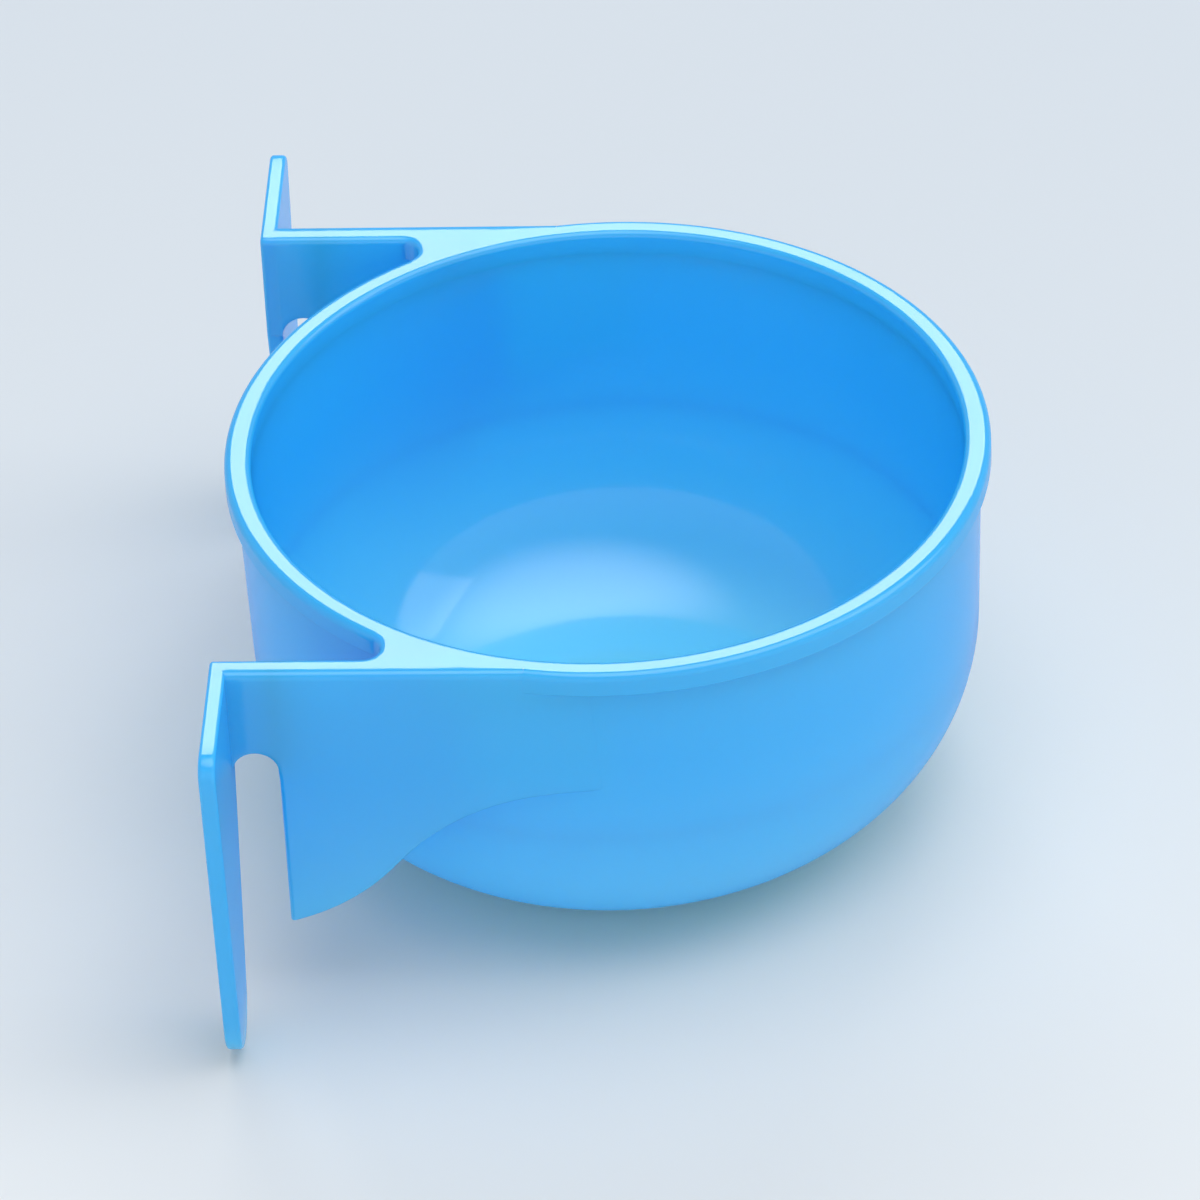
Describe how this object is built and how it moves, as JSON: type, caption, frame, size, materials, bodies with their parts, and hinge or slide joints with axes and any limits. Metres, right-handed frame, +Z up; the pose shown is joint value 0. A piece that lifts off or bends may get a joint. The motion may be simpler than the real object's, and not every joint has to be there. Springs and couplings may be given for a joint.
{
  "type": "hook-on seed cup",
  "caption": "Round seed cup moulded in one piece, with side wings that carry flat hooks for hanging it on the wires of a cage panel.",
  "frame": {"origin": "centre of the flat underside of the base, where the bowl's axis meets it", "axes": "+Z up along the bowl's axis; +X horizontal, pointing away from the panel that the hooks grip; Y across the cup, from the left wing at -Y to the right wing at +Y"},
  "size_m": [0.092, 0.1246, 0.0495],
  "materials": {
    "cup_plastic": "high gloss, slightly translucent injection-moulded polypropylene"
  },
  "bodies": {
    "root": {"bowl_floor": "cup_plastic", "bowl_heel": "cup_plastic", "bowl_wall": "cup_plastic", "rim_bead": "cup_plastic", "left_wing": "cup_plastic", "right_wing": "cup_plastic", "left_web": "cup_plastic", "right_web": "cup_plastic", "left_hook_bridge": "cup_plastic", "right_hook_bridge": "cup_plastic", "left_hook_tongue": "cup_plastic", "right_hook_tongue": "cup_plastic"}
  },
  "joints": []
}
